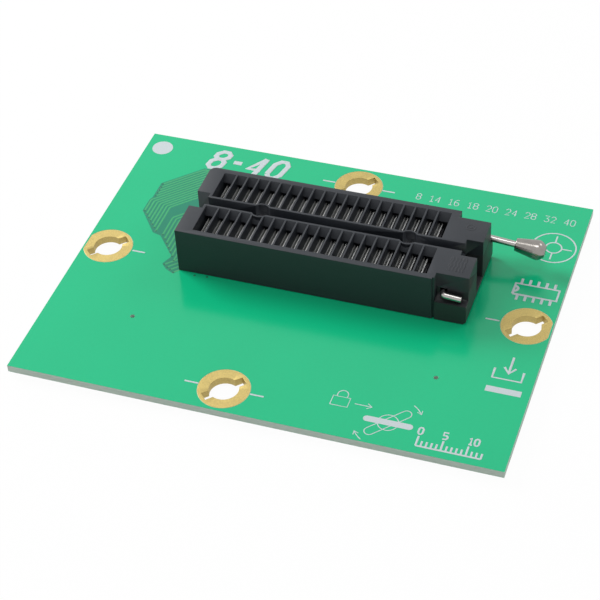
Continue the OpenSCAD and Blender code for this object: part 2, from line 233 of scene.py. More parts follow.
class Signal:
    """A node's output socket; arithmetic on it adds Math nodes."""

    __add__ = __radd__ = maths("ADD")
    __mul__ = __rmul__ = maths("MULTIPLY")
    __sub__, __rsub__ = maths("SUBTRACT"), maths("SUBTRACT", swapped=True)
    __truediv__, __rtruediv__ = maths("DIVIDE"), maths("DIVIDE", swapped=True)
    __pow__, __rpow__ = maths("POWER"), maths("POWER", swapped=True)
    at_least = maths("MAXIMUM")

    def __init__(self, nodes, socket):
        self.nodes = nodes
        self.socket = socket

    def sine(self):
        return self.nodes.node("ShaderNodeMath", {"operation": "SINE"}, self)

    def within(self, low, high, start=0.0, stop=1.0):
        """start below low, stop above high and a smooth step between them."""
        smooth = {"interpolation_type": "SMOOTHSTEP"}
        return self.nodes.node("ShaderNodeMapRange", smooth, self, low, high, start, stop)


class Nodes:
    """A node tree under construction."""

    def __init__(self, tree):
        self.tree = tree

    def feed(self, socket, value):
        """Links or sets one input."""
        if isinstance(value, Signal):
            self.tree.links.new(value.socket, socket)
        else:
            socket.default_value = value

    def node(self, kind, settings=None, *values, output=0, **named):
        """Adds a node: settings first, then its inputs by place or by name."""
        made = self.tree.nodes.new(kind)
        for key, value in (settings or {}).items():
            setattr(made, key, value)
        for socket, value in zip(made.inputs, values):
            self.feed(socket, value)
        for name, value in named.items():
            label = name.replace("_", " ")
            self.feed(next(s for s in made.inputs if s.enabled and s.name == label), value)
        return Signal(self, made.outputs[output])

    def parts(self, vector):
        """The x, y and z of a vector."""
        split = self.node("ShaderNodeSeparateXYZ", None, vector).socket.node
        return [Signal(self, part) for part in split.outputs]


class Shade(Nodes):
    """A material under construction, with a Principled surface."""

    def __init__(self, name, colour, **constants):
        self.material = bpy.data.materials.new(name)
        self.material.use_nodes = True
        super().__init__(self.material.node_tree)
        self.surface = self.tree.nodes["Principled BSDF"]
        self.colour = colour
        self.material.diffuse_color = (*colour, 1.0)
        self.dress(Base_Color=(*colour, 1.0), **constants)

    def dress(self, **inputs):
        """Sets or links inputs of the surface."""
        for name, value in inputs.items():
            self.feed(self.surface.inputs[name.replace("_", " ")], value)

    def place(self):
        """Object coordinates in millimetres."""
        here = self.node("ShaderNodeTexCoord", output="Object")
        return self.node("ShaderNodeVectorMath", {"operation": "SCALE"}, here, Scale=1 / MM)

    def noise(self, size, detail=2.0, stretch=(1, 1, 1)):
        """Noise whose features are about size millimetres, longer along stretched axes."""
        scale = tuple(1 / (size * s) for s in stretch)
        scaled = self.node("ShaderNodeMapping", None, self.place(), Scale=scale)
        return self.node("ShaderNodeTexNoise", None, scaled, Scale=1.0, Detail=detail)

    def mix(self, share, low, high):
        """A colour between low and high."""
        return self.node(
            "ShaderNodeMix", {"data_type": "RGBA"}, output=2,
            Factor=share, A=(*low, 1.0), B=(*high, 1.0),
        )

    def tone(self, share, dark, pale):
        """The plain colour, times dark where share is 0 and times pale where it is 1."""
        return self.mix(share, scaled(self.colour, dark), scaled(self.colour, pale))

    def finish(self, depth, height, **varying):
        """Links a relief of depth millimetres and what else varies; returns the material."""
        relief = self.node("ShaderNodeBump", Height=height, Distance=depth * MM, Strength=1.0)
        self.dress(Normal=relief, **varying)
        return self.material


def scaled(colour, factor):
    """A colour made lighter or darker."""
    return tuple(min(1.0, c * factor) for c in colour)


# ---------------------------------------------------------------- materials


def mask_material(name, colour):
    """Semi-gloss solder mask that follows the glass cloth a little."""
    shade = Shade(name, colour, IOR=1.45)
    x, y, _ = shade.parts(shade.place())
    cloth = (x * 12.0).sine() * (y * 11.0).sine()
    patches, fine = shade.noise(26.0), shade.noise(0.5, 3.0)
    return shade.finish(
        0.0015, fine * 0.7 + cloth * 0.3,
        Base_Color=shade.tone(patches * 0.5 + fine * 0.3 + cloth * 0.05 + 0.1, 0.9, 1.1),
        Roughness=patches * 0.05 + fine * 0.04 + 0.13,
    )


def laminate_material(look):
    """Cut edge of glass-epoxy: pale resin with thin darker glass layers."""
    shade = Shade("laminate", look.laminate, Roughness=0.75)
    _, _, z = shade.parts(shade.place())
    layers = (z * 24.0).sine().within(-0.2, 0.7)
    cloth = shade.noise(0.35, 3.0, stretch=(4, 4, 0.4))
    blotch = shade.noise(3.0, stretch=(2, 2, 0.4))
    share = layers * 0.35 + cloth * 0.45 + blotch * 0.25 - 0.1
    return shade.finish(0.02, cloth, Base_Color=shade.mix(share, look.laminate, look.glass))


def gold_material(look):
    """Immersion gold on slightly uneven copper."""
    shade = Shade("plated_gold", look.gold, Metallic=1.0)
    cloudy, pits = shade.noise(2.2, 3.0), shade.noise(0.24, 3.0)
    return shade.finish(
        0.03, pits * 0.7 + cloudy * 0.3,
        Base_Color=shade.tone(cloudy * 0.35 + pits.within(0.3, 0.7) * 0.65, 0.74, 1.2),
        Roughness=pits * 0.2 + cloudy * 0.14 + 0.38,
    )


def solder_material(look):
    """Bright solder with a faint frost."""
    shade = Shade("solder", look.solder, Metallic=1.0)
    frost = shade.noise(0.12, 3.0)
    return shade.finish(0.006, frost, Roughness=frost * 0.3 + 0.12)


def ink_material(look):
    """Screen-printed ink with a slightly open surface."""
    shade = Shade("printed_ink", look.ink)
    speckle = shade.noise(0.22, 3.0)
    return shade.finish(
        0.004, speckle,
        Base_Color=shade.tone(speckle.within(0.25, 0.75), 0.88, 1.0),
        Roughness=speckle * 0.2 + 0.5,
    )


def moulded_marks(shade):
    """Height of the cavity ring and of the ribbed patch on the end block's top."""
    x, y, z = shade.parts(shade.place())
    across, along = x - 31.26, y - 14.54
    away = (across * across + along * along) ** 0.5
    ring = away.within(0.72, 0.8) - away.within(0.98, 1.06) + (1 - away.within(0.3, 0.4))
    u, v = x - 31.5, y - 2.4
    patch = (1 - (u * u).within(2.7, 3.2)) * (1 - (v * v).within(4.4, 5.0))
    ribs = (u * 9.0 + (v * 3.2).sine() * 0.8).sine().within(-0.2, 0.3)
    on_top = z.within(13.9, 13.98)
    return (ring + patch * ribs) * on_top


def plastic_material(name, colour, marked=False):
    """Glass-filled black moulding with a fine eroded grain and faint flow lines."""
    shade = Shade(name, colour, IOR=1.46)
    grain, speck = shade.noise(0.09, 3.0), shade.noise(0.3)
    streaks = shade.noise(1.6, 3.0, stretch=(3, 1, 1))
    relief = grain * 0.8 + speck * 0.2
    if marked:
        relief = relief + moulded_marks(shade) * 24.0
    return shade.finish(
        0.008, relief,
        Base_Color=shade.tone(grain * 0.45 + streaks * 0.3 + speck.within(0.3, 0.75) * 0.25, 0.72, 1.28),
        Roughness=grain * 0.16 + streaks * 0.08 + 0.36,
    )


def wire_material(name, colour, rough=0.08):
    """Drawn or rolled metal with fine scratches."""
    shade = Shade(name, colour, Metallic=1.0)
    draw, stain = shade.noise(0.1, 3.0, stretch=(14, 14, 1)), shade.noise(1.4)
    return shade.finish(
        0.004, draw, Base_Color=shade.tone(stain, 0.85, 1.1), Roughness=draw * 0.12 + stain * 0.06 + rough
    )


def spring_material(name, colour):
    """Satin silver plating on rolled spring sheet."""
    shade = Shade(name, colour, Metallic=0.3)
    roll, stain = shade.noise(0.12, 3.0, stretch=(1, 10, 1)), shade.noise(1.2)
    return shade.finish(
        0.003, roll, Base_Color=shade.tone(stain, 0.86, 1.06), Roughness=roll * 0.1 + stain * 0.08 + 0.16
    )


def turned_material(name, colour):
    """Lathe-turned nickel: fine rings across the knob's axis."""
    shade = Shade(name, colour, Metallic=1.0)
    x, _, _ = shade.parts(shade.place())
    rings = (x * 55.0 + shade.noise(0.5) * 4.0).sine() * 0.5 + 0.5
    stain = shade.noise(1.1, 3.0)
    return shade.finish(
        0.004, rings * 0.6 + stain * 0.4,
        Base_Color=shade.tone(stain, 0.82, 1.12), Roughness=rings * 0.06 + stain * 0.08 + 0.08,
    )


# ---------------------------------------------------------------- mesh helpers


def turn(start, stop, steps):
    """Angles in radians from start to stop degrees, both among them."""
    return [math.radians(start + (stop - start) * k / steps) for k in range(steps + 1)]


def arc(centre, radius, start, stop, steps=24):
    """Points on an arc, angles in degrees."""
    angles = turn(start, stop, steps)
    return [(centre[0] + radius * math.cos(a), centre[1] + radius * math.sin(a)) for a in angles]


def circle(centre, radius, steps):
    """The corners of a round outline."""
    return arc(centre, radius, 0, 360, steps)[:-1]


def rectangle(low, high):
    """The corners of an upright rectangle, from two opposite ones."""
    return [(low[0], low[1]), (high[0], low[1]), (high[0], high[1]), (low[0], high[1])]


def linked(name, data):
    """A new object for data, linked to the scene."""
    obj = bpy.data.objects.new(name, data)
    bpy.context.scene.collection.objects.link(obj)
    return obj


def add_mesh(name, vertices, edges, faces, material=None):
    """A new object from plain vertex, edge and face lists."""
    mesh = bpy.data.meshes.new(name)
    mesh.from_pydata([tuple(v) for v in vertices], edges, faces)
    mesh.validate()
    if material:
        mesh.materials.append(material)
    return linked(name, mesh)


def polylines(name, lines):
    """An object of loose edges along each line's points."""
    vertices, edges = [], []
    for line in lines:
        edges += [(len(vertices) + k, len(vertices) + k + 1) for k in range(len(line) - 1)]
        vertices += line
    return add_mesh(name, vertices, edges, [])


def skin(name, rings, material=None, capped=True):
    """A closed piece through rings of points, capped flat or already drawn to a point at its ends."""
    count = len(rings[0])
    faces = []
    for start in range(0, (len(rings) - 1) * count, count):
        for k in range(count):
            n = (k + 1) % count
            faces.append((start + k, start + n, start + count + n, start + count + k))
    vertices = [v for ring in rings for v in ring]
    if capped:
        faces += [tuple(reversed(range(count))), tuple(range(len(vertices) - count, len(vertices)))]
    obj = add_mesh(name, vertices, [], faces, material)
    tidy(obj.data)
    return obj


def slab(name, outline, height, material):
    """A flat patch on the card's top, from its outline in card millimetres, sunk by its own height."""
    levels = (MASK_TOP - height, MASK_TOP + height)
    return skin(name, [[on_card(x, y, z) for x, y in outline] for z in levels], material)


def bar(name, outline, low, high, material):
    """A bar along y from low to high, whose section is an outline in x and z."""
    return skin(name, [[(x, y, z) for x, z in outline] for y in (low, high)], material)


def carved(obj, low, high):
    """Cuts a box, given by its low and high corner, out of obj."""
    cutter = skin("cutter", [[(x, y, z) for x, y in rectangle(low, high)] for z in (low[2], high[2])])
    cut = obj.modifiers.new("Cut", "BOOLEAN")
    cut.operation = "DIFFERENCE"
    cut.solver = "EXACT"
    cut.object = cutter
    baked(obj)
    bpy.data.objects.remove(cutter)


def tidy(mesh, weld=True):
    """Merges doubles and turns every face outwards."""
    work = bmesh.new()
    work.from_mesh(mesh)
    if weld:
        bmesh.ops.remove_doubles(work, verts=work.verts, dist=WELD)
    bmesh.ops.recalc_face_normals(work, faces=work.faces)
    work.to_mesh(mesh)
    work.free()
    mesh.update()


def baked(obj):
    """Replaces obj's mesh by its evaluated one and drops the modifiers."""
    depsgraph = bpy.context.evaluated_depsgraph_get()
    mesh = bpy.data.meshes.new_from_object(obj.evaluated_get(depsgraph))
    obj.modifiers.clear()
    old, obj.data = obj.data, mesh
    bpy.data.meshes.remove(old)
    return obj


def crisp(obj, degrees):
    """Smooth shading that breaks at edges sharper than the angle."""
    obj.data.polygons.foreach_set("use_smooth", [True] * len(obj.data.polygons))
    obj.data.set_sharp_from_angle(angle=math.radians(degrees))
    return obj


def settle(obj, slot, *nodes, body=CARD_BODY):
    """Hands a finished piece to the frame."""
    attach(obj, body)
    if nodes:
        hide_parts(*nodes)


def dressed_copy(node, name, edge, material, slot, chosen=None, body=CARD_BODY):
    """A copy of a CAD node with its facets joined and its chosen sharp edges rounded, shown in its place."""
    mesh = frame["nodes"][node].data.copy()
    mesh.materials.clear()
    mesh.materials.append(material)
    work = bmesh.new()
    work.from_mesh(mesh)
    bmesh.ops.remove_doubles(work, verts=work.verts, dist=WELD)
    weight = work.edges.layers.float.new("bevel_weight_edge")
    for side in work.edges:
        if side.calc_face_angle(0.0) > math.radians(40) and (chosen is None or chosen(side)):
            side[weight] = 1.0
    for face in work.faces:
        face.material_index = 0
    work.to_mesh(mesh)
    work.free()
    obj = linked(name, mesh)
    bevel = obj.modifiers.new("Rounded edges", "BEVEL")
    bevel.width = edge
    bevel.segments = 2
    bevel.limit_method = "WEIGHT"
    bevel.loop_slide = False
    bevel.use_clamp_overlap = False
    crisp(baked(obj), 20)
    settle(obj, slot, node, body=body)
    return obj


def level_edge(z):
    """Chooses the edges that lie at height z."""
    return lambda side: all(abs(v.co.z - z) < SAME for v in side.verts)


def outer_upright(low, high):
    """Chooses the upright edges on a box's own corners."""

    def at_corner(place):
        return all(min(abs(place[i] - low[i]), abs(place[i] - high[i])) < SAME for i in (0, 1))

    return lambda side: all(at_corner(v.co) for v in side.verts)


def paint(material, *nodes):
    """Gives CAD nodes a material."""
    for node in nodes:
        mesh = frame["nodes"][node].data
        mesh.materials.clear()
        mesh.materials.append(material)


def lathe(name, profile, segments, material, place):
    """A turned piece from (along, radius) points that start and end on the axis."""
    rings = [
        [place @ Vector((x, y, along)) for x, y in circle((0, 0), radius, segments)]
        for along, radius in profile
    ]
    return crisp(skin(name, rings, material, capped=False), 30)


def sweep(name, points, radius, segments, material, cap):
    """A round closed tube along the points, its ends rounded to the cap's radius."""
    stations, side = [], None
    for k, point in enumerate(points):
        ahead, behind = points[min(k + 1, len(points) - 1)], points[max(k - 1, 0)]
        tangent = (ahead - behind).normalized()
        side = side or tangent.orthogonal()
        side = (side - tangent * side.dot(tangent)).normalized()
        stations.append((point, tangent, side, radius))

    def rounded(station, way):
        point, tangent, side, _ = station
        return [
            (point - tangent * way * cap * (1 - math.sin(a)), tangent, side, radius - cap * (1 - math.cos(a)))
            for a in turn(0, 90, 4)
        ]

    stations = rounded(stations[0], -1)[::-1] + stations[1:-1] + rounded(stations[-1], 1)
    rings = [
        [point + side * x + tangent.cross(side) * y for x, y in circle((0, 0), r, segments)]
        for point, tangent, side, r in stations
    ]
    return crisp(skin(name, rings, material), 40)


# ---------------------------------------------------------------- geometry nodes


class Growth(Nodes):
    """A Geometry Nodes tree under construction, with named inputs."""

    def __init__(self, name):
        super().__init__(bpy.data.node_groups.new(name, "GeometryNodeTree"))
        for way in ("INPUT", "OUTPUT"):
            self.tree.interface.new_socket("Geometry", in_out=way, socket_type="NodeSocketGeometry")
        self.source = self.tree.nodes.new("NodeGroupInput")
        self.names = {}

    def ask(self, **kinds):
        """Adds named inputs of the given kinds; returns the incoming geometry and them."""
        for name, kind in kinds.items():
            made = self.tree.interface.new_socket(name, in_out="INPUT", socket_type="NodeSocket" + kind)
            self.names[name] = made.identifier
        return [Signal(self, self.source.outputs[name]) for name in ("Geometry", *kinds)]

    def end(self, geometry, material):
        """Closes the tree with Realize Instances and Set Material."""
        real = self.node("GeometryNodeRealizeInstances", Geometry=geometry)
        done = self.node("GeometryNodeSetMaterial", Geometry=real, Material=material)
        self.feed(self.tree.nodes.new("NodeGroupOutput").inputs[0], done)
        return self

    def grow(self, obj, **values):
        """Runs the tree on obj and keeps the result as its mesh."""
        modifier = obj.modifiers.new(self.tree.name, "NODES")
        modifier.node_group = self.tree
        for name, value in values.items():
            modifier[self.names[name]] = value
        return baked(obj)

    def row(self, obj, step, count=CONTACTS):
        """Repeats obj along x, in its own material."""
        return self.grow(obj, Count=count, Step=(step, 0.0, 0.0), Material=obj.data.materials[0])


def row_tree():
    """Repeats the incoming piece along a straight row."""
    tree = Growth("Row of copies")
    piece, count, step, material = tree.ask(Count="Int", Step="Vector", Material="Material")
    line = tree.node("GeometryNodeMeshLine", Count=count, Offset=step)
    return tree.end(tree.node("GeometryNodeInstanceOnPoints", Points=line, Instance=piece), material)


def stroke_tree():
    """Turns polylines into flat raised strokes that follow them, with rounded bends."""
    tree = Growth("Raised strokes")
    piece, width, height, bend, level, material = tree.ask(
        Width="Float", Height="Float", Bend="Float", Level="Float", Material="Material"
    )
    lines = tree.node("GeometryNodeMeshToCurve", Mesh=piece)
    soft = tree.node("GeometryNodeFilletCurve", {"mode": "POLY"}, Curve=lines, Radius=bend)
    ring = tree.node("GeometryNodeCurvePrimitiveCircle", Resolution=10, Radius=width / 2.0)
    tube = tree.node("GeometryNodeCurveToMesh", Curve=soft, Profile_Curve=ring, Fill_Caps=True)
    x, y, z = tree.parts(tree.node("GeometryNodeInputPosition"))
    flat = (z - level) * (height * 2.0 / width) + level
    place = tree.node("ShaderNodeCombineXYZ", None, x, y, flat)
    return tree.end(tree.node("GeometryNodeSetPosition", Geometry=tube, Position=place), material)


def dome_tree():
    """Sets a small flat dome on every point."""
    tree = Growth("Covered vias")
    piece, radius, height, material = tree.ask(Radius="Float", Height="Float", Material="Material")
    ball = tree.node("GeometryNodeMeshUVSphere", Segments=12, Rings=8, Radius=1.0)
    size = tree.node("ShaderNodeCombineXYZ", None, radius, radius, height)
    copies = tree.node("GeometryNodeInstanceOnPoints", Points=piece, Instance=ball, Scale=size)
    return tree.end(copies, material)


def joined(name, parts):
    """One object from several of one material, with their meshes put together."""
    work = bmesh.new()
    for part in parts:
        work.from_mesh(part.data)
    mesh = bpy.data.meshes.new(name)
    work.to_mesh(mesh)
    work.free()
    mesh.materials.append(parts[0].data.materials[0])
    for part in parts:
        bpy.data.objects.remove(part)
    return linked(name, mesh)


# ---------------------------------------------------------------- printed marks


def pill(centre, long, wide, lean):
    """Closed outline of a bar with round ends, turned by lean degrees."""
    half = long / 2 - wide / 2
    ends = arc((half, 0), wide / 2, -90, 90, 10) + arc((-half, 0), wide / 2, 90, 270, 10)
    c, s = math.cos(math.radians(lean)), math.sin(math.radians(lean))
    return [(centre[0] + x * c - y * s, centre[1] + x * s + y * c) for x, y in ends]


def closed(points):
    """The outline with its first point repeated at the end."""
    return [*points, points[0]]


# Digits as strokes on a grid one wide and two high.
DIGITS = {
    "0": [[(0, 0.4), (0, 1.6), (0.3, 2), (0.7, 2), (1, 1.6), (1, 0.4), (0.7, 0), (0.3, 0), (0, 0.4)]],
    "1": [[(0.2, 1.6), (0.6, 2), (0.6, 0)], [(0.2, 0), (1, 0)]],
    "2": [[(0, 1.6), (0.3, 2), (0.7, 2), (1, 1.6), (1, 1.2), (0, 0), (1, 0)]],
    "3": [[(0, 2), (1, 2), (0.4, 1.1), (0.7, 1.1), (1, 0.8), (1, 0.4), (0.7, 0), (0.3, 0), (0, 0.3)]],
    "4": [[(0.8, 0), (0.8, 2)], [(0.8, 1.95), (0, 0.6), (1, 0.6)]],
    "5": [[(1, 2), (0, 2), (0, 1.1), (0.7, 1.1), (1, 0.8), (1, 0.4), (0.7, 0), (0, 0)]],
    "6": [[(0.9, 2), (0.4, 2), (0, 1.4), (0, 0.4), (0.3, 0), (0.7, 0), (1, 0.4), (1, 0.8), (0.7, 1.1), (0, 1.1)]],
    "8": [
        [(0.3, 1.1), (0, 1.4), (0, 1.7), (0.3, 2), (0.7, 2), (1, 1.7), (1, 1.4), (0.7, 1.1), (0.3, 1.1)],
        [(0.3, 1.1), (0, 0.8), (0, 0.3), (0.3, 0), (0.7, 0), (1, 0.3), (1, 0.8), (0.7, 1.1)],
    ],
}


def number(text, x, y, high):
    """Strokes of a number whose lower left corner is at x, y; returns them and the end."""
    strokes = []
    for digit in text:
        for line in DIGITS[digit]:
            strokes.append([(x + px * high / 2, y + py * high / 2) for px, py in line])
        x += high * 0.72
    return strokes, x


def slanted(strokes, low, lean):
    """Strokes sheared to the right by lean for each millimetre above low."""
    return [[(x + (y - low) * lean, y) for x, y in line] for line in strokes]


def pin_range(x, y, high):
    """The smallest and the largest package as one bold slanted number range."""
    first, end = number("8", x, y, high)
    end += high * 0.1
    dash = [[(end, y + high / 2), (end + high * 0.32, y + high / 2)]]
    four, end = number("4", end + high * 0.66, y, high)
    last, _ = number("0", end + high * 0.1, y, high)
    return slanted(first + dash + four + last, y, 0.22)


def pin_counts(x, y, high, gap):
    """The package sizes that the socket takes, as a row of plain numbers."""
    strokes = []
    for text in ("8", "14", "16", "18", "20", "24", "28", "32", "40"):
        lines, x = number(text, x, y, high)
        strokes += lines
        x += gap
    return strokes


def ruler(x, y, long, high):
    """A scale with a tick every millimetre and numbers every five."""
    strokes = [[(x, y), (x + long, y)]]
    for k in range(int(long) + 1):
        tick = high * (0.5 if k % 5 == 0 else 0.28)
        strokes.append([(x + k, y), (x + k, y + tick)])
    for k, text in ((0, "0"), (5, "5"), (10, "10")):
        strokes += number(text, x + k - 0.4, y + high * 0.6, high * 0.34)[0]
    return strokes


def package_sign(x, y, wide, high):
    """A dual in-line package seen from above, with its notch to the left."""
    body = rectangle((x, y + high * 0.25), (x + wide, y + high * 0.75))
    strokes = [closed(body), arc((x, y + high / 2), high * 0.12, -90, 90, 8)]
    for k in range(5):
        leg = x + wide * (0.12 + 0.19 * k)
        strokes.append([(leg, y), (leg, y + high * 0.25)])
        strokes.append([(leg, y + high * 0.75), (leg, y + high)])
    return strokes


def target(centre, radius):
    """An alignment target: a ring and a broken cross."""
    x, y = centre
    inner, outer = radius * 0.36, radius * 0.82
    strokes = [arc(centre, radius, 0, 360, 48), arc(centre, inner, 0, 360)]
    for dx, dy in ((1, 0), (-1, 0), (0, 1), (0, -1)):
        strokes.append([(x + dx * inner, y + dy * inner), (x + dx * outer, y + dy * outer)])
    return strokes


def insert_sign(x, y, wide, high):
    """An arrow down into an open tray."""
    middle, rim, barb = x + wide / 2, y + high * 0.42, y + high * 0.52
    tray = [(x, rim), (x, y), (x + wide, y), (x + wide, rim)]
    stem = [(middle, y + high), (middle, y + high * 0.3)]
    head = [(middle - wide * 0.2, barb), (middle, y + high * 0.26), (middle + wide * 0.2, barb)]
    return [tray, stem, head]


def padlock(x, y, wide, high):
    """A closed padlock: outline body and shackle."""
    top = y + high * 0.55
    body = rectangle((x, y), (x + wide, top))
    bow = arc((x + wide / 2, y + high * 0.7), wide * 0.3, 180, 0, 12)
    return [closed(body), [(x + wide * 0.2, top), *bow, (x + wide * 0.8, top)]]


def turn_arrow(centre, radius, start, stop, barb):
    """A curved arrow; its head is at the stop angle."""
    line = arc(centre, radius, start, stop, 12)
    tip, before = Vector(line[-1]), Vector(line[-3])
    back = (before - tip).normalized() * barb
    side = Vector((-back.y, back.x)) * 0.6
    return [line, [tuple(tip + back + side), tuple(tip), tuple(tip + back - side)]]


def ring_ticks(low, high):
    """Short lines left and right of each ring, where the card has room."""
    strokes = []
    for node in ("clip_ring_left", "clip_ring_right", "clip_ring_rear", "clip_ring_front"):
        low_corner, high_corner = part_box(node)
        middle = ((low_corner + high_corner) / 2 - CARD_LOW) / MM
        x, y = middle.x, middle.y
        for side in (-1, 1):
            near, far = x + side * low, x + side * high
            if 2 < far < (CARD_HIGH.x - CARD_LOW.x) / MM - 2:
                strokes.append([(near, y), (far, y)])
    return strokes


# ---------------------------------------------------------------- operators


class SOCKETCARD_OT_card(bpy.types.Operator):
    """Gives the laminate, mask films, plated holes and lands their materials"""

    bl_idname = "socketcard.card"
    bl_label = "Card"

    def execute(self, context):
        look = looks().card
        paint(laminate_material(look), "card_laminate")
        paint(mask_material("solder_mask", look.mask), "mask_top", "mask_bottom")
        paint(gold_material(look), "plated_holes", "underside_lands")
        return {"FINISHED"}


class SOCKETCARD_OT_rings(bpy.types.Operator):
    """Shows the four gold rings with softly rounded plated edges"""

    bl_idname = "socketcard.rings"
    bl_label = "Clip rings"

    def execute(self, context):
        edge, gold = looks().card.ring_edge * MM, bpy.data.materials["plated_gold"]
        for side in ("left", "right", "rear", "front"):
            dressed_copy(f"clip_ring_{side}", f"gold_ring_{side}", edge, gold, "gold")
        return {"FINISHED"}


class SOCKETCARD_OT_traces(bpy.types.Operator):
    """Raises the traces and covered vias under the mask"""

    bl_idname = "socketcard.traces"
    bl_label = "Traces"

    # Outline of the bare laminate round the traces, in card millimetres.
    clearing = (
        (8.1, 53.9), (13.2, 47.4), (15.2, 46.9), (20.2, 41.0), (19.1, 38.3), (20.4, 36.9), (22.6, 35.8),
        (24.0, 38.0), (26.0, 38.0), (26.0, 71.8), (16.2, 71.8), (8.5, 64.1), (8.5, 59.0), (8.1, 57.8),
    )
    # Covered vias with no visible trace, in card millimetres.
    lone_vias = ((27.3, 36.5), (30.1, 36.8))

    def routes(self):
        """Trace routes beside the socket, in card millimetres, far ends first; all slant at 45 degrees."""
        lines = []
        left_edge, under_socket, deep_under = 9.0, 19.0, 5.0
        for k in range(12):
            rise, crest = 54.9 - 1.088 * k, 71.3 - 0.55 * k
            if k < 5:
                start = [(left_edge, left_edge + rise)]
            else:
                x = 8.56 + 0.848 * (k - 5)
                start = [(x, 53.94 - 0.977 * (k - 5)), (x, x + rise)]
            lines.append([*start, (crest - rise, crest), (max(crest - rise, under_socket) + deep_under, crest)])
        for k in range(7):
            x, knee = 15.6 + 0.93 * k, 53.45 - 0.25 * k
            lines.append([(x, 47.3 - 1.25 * k), (x, knee), (25.5, knee + 25.5 - x)])
        for k in range(4):
            x, y = 19.6 + 0.95 * k, 38.1 - 0.63 * k
            lines.append([(x, y), (26.0, y + 26.0 - x)])
        return lines

    def execute(self, context):
        look = looks().card
        copper = mask_material("mask_over_traces", look.trace_mask)
        closing = mask_material("mask_over_vias", look.via_mask)
        over_glass = mask_material("mask_over_laminate", look.bare_mask)
        bare = slab("bare_laminate", self.clearing, look.bare_height * MM, over_glass)
        routes = [[on_card(x, y) for x, y in line] for line in self.routes()]
        traces = stroke_tree().grow(
            polylines("traces", routes), Width=look.trace_width * MM, Height=look.trace_height * MM,
            Bend=look.trace_bend * MM, Level=MASK_TOP, Material=copper,
        )
        spots = [route[0] for route in routes] + [on_card(x, y) for x, y in self.lone_vias]
        vias = dome_tree().grow(
            add_mesh("vias", spots, [], []),
            Radius=look.via_radius * MM, Height=look.via_height * MM, Material=closing,
        )
        for piece in (traces, vias):
            settle(crisp(piece, 60), "solder_mask")
        settle(bare, "solder_mask")
        return {"FINISHED"}


class SOCKETCARD_OT_print(bpy.types.Operator):
    """Prints the dot, the ring ticks and the plain signs in white ink"""

    bl_idname = "socketcard.print"
    bl_label = "Printed marks"

    clip_sign = (79.8, 6.25)

    def strokes(self):
        """Line width in millimetres mapped to its polylines in card millimetres."""
        fine = [
            *pin_counts(66.0, 74.2, 2.0, 1.5),
            *padlock(67.2, 8.0, 3.6, 4.6),
            [(72.0, 9.4), (75.6, 9.4)],
            [(74.6, 10.1), (75.6, 9.4), (74.6, 8.7)],
            closed(pill(self.clip_sign, 10.6, 2.0, 47)),
            arc(self.clip_sign, 2.1, 0, 360),
            *turn_arrow(self.clip_sign, 6.95, 58, 34, 0.9),
            *turn_arrow(self.clip_sign, 6.95, 236, 214, 0.9),
        ]
        return {
            0.2: fine,
            0.34: target((99.3, 66.1), 4.8),
            0.6: package_sign(94.2, 47.8, 9.4, 6.8),
            0.42: ring_ticks(5.55, 8.5) + ruler(86.6, 1.9, 13.0, 5.2),
            0.5: insert_sign(96.2, 24.2, 6.0, 6.6),
            1.3: pin_range(16.2, 72.6, 6.2),
        }

    def fills(self):
        """Closed outlines that are printed solid."""
        dot, tray_foot = circle((3.9, 76.45), 2.42, 48), rectangle((95.7, 20.1), (103.0, 21.7))
        return dot, tray_foot, pill(self.clip_sign, 10.2, 1.5, 0)

    def execute(self, context):
        look = looks().card
        ink, height, tree = ink_material(look), look.ink_height * MM, stroke_tree()
        level_gap = 0.0005 * MM
        parts = []
        for width, lines in self.strokes().items():
            # Strokes that cross lie at slightly different heights, on five levels.
            lift = level_gap * width / (2 * look.ink_height)
            marks = polylines("marks", [
                [on_card(x, y, MASK_TOP + (k % 5) * lift) for x, y in line] for k, line in enumerate(lines)
            ])
            parts.append(
                tree.grow(marks, Width=width * MM, Height=height, Bend=0.0, Level=MASK_TOP, Material=ink)
            )
        parts += [slab("fill", outline, height, ink) for outline in self.fills()]
        marks = joined("printed_marks", parts)
        tidy(marks.data, weld=False)
        settle(marks, "solder_mask")
        return {"FINISHED"}


class SOCKETCARD_OT_solder(bpy.types.Operator):
    """Builds the hollow-sided solder joints under the card"""

    bl_idname = "socketcard.solder"
    bl_label = "Solder joints"

    def execute(self, context):
        metal, tree = solder_material(looks().card), row_tree()
        for side in ("front", "rear"):
            low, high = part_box(f"solder_{side}")
            radius, tall = (high.y - low.y) / 2, high.z - low.z
            pitch = ((high.x - low.x) - 2 * radius) / (CONTACTS - 1)
            tip, collar = radius * 0.42, 0.14
            profile = [(0.0, 0.0), (0.0, tip * 0.55), (tall * 0.04, tip * 0.85), (tall * collar, tip)]
            profile += [
                (tall * (collar + (1 - collar) * s), tip + (radius - tip) * s ** 2.2)
                for s in (0.2, 0.4, 0.6, 0.75, 0.88, 1.0)
            ]
            place = Matrix.Translation((low.x + radius, (low.y + high.y) / 2, low.z))
            joint = lathe(f"solder_joints_{side}", [*profile, (tall, 0.0)], 20, metal, place)
            settle(crisp(tree.row(joint, pitch), 50), "solder", f"solder_{side}")
        return {"FINISHED"}


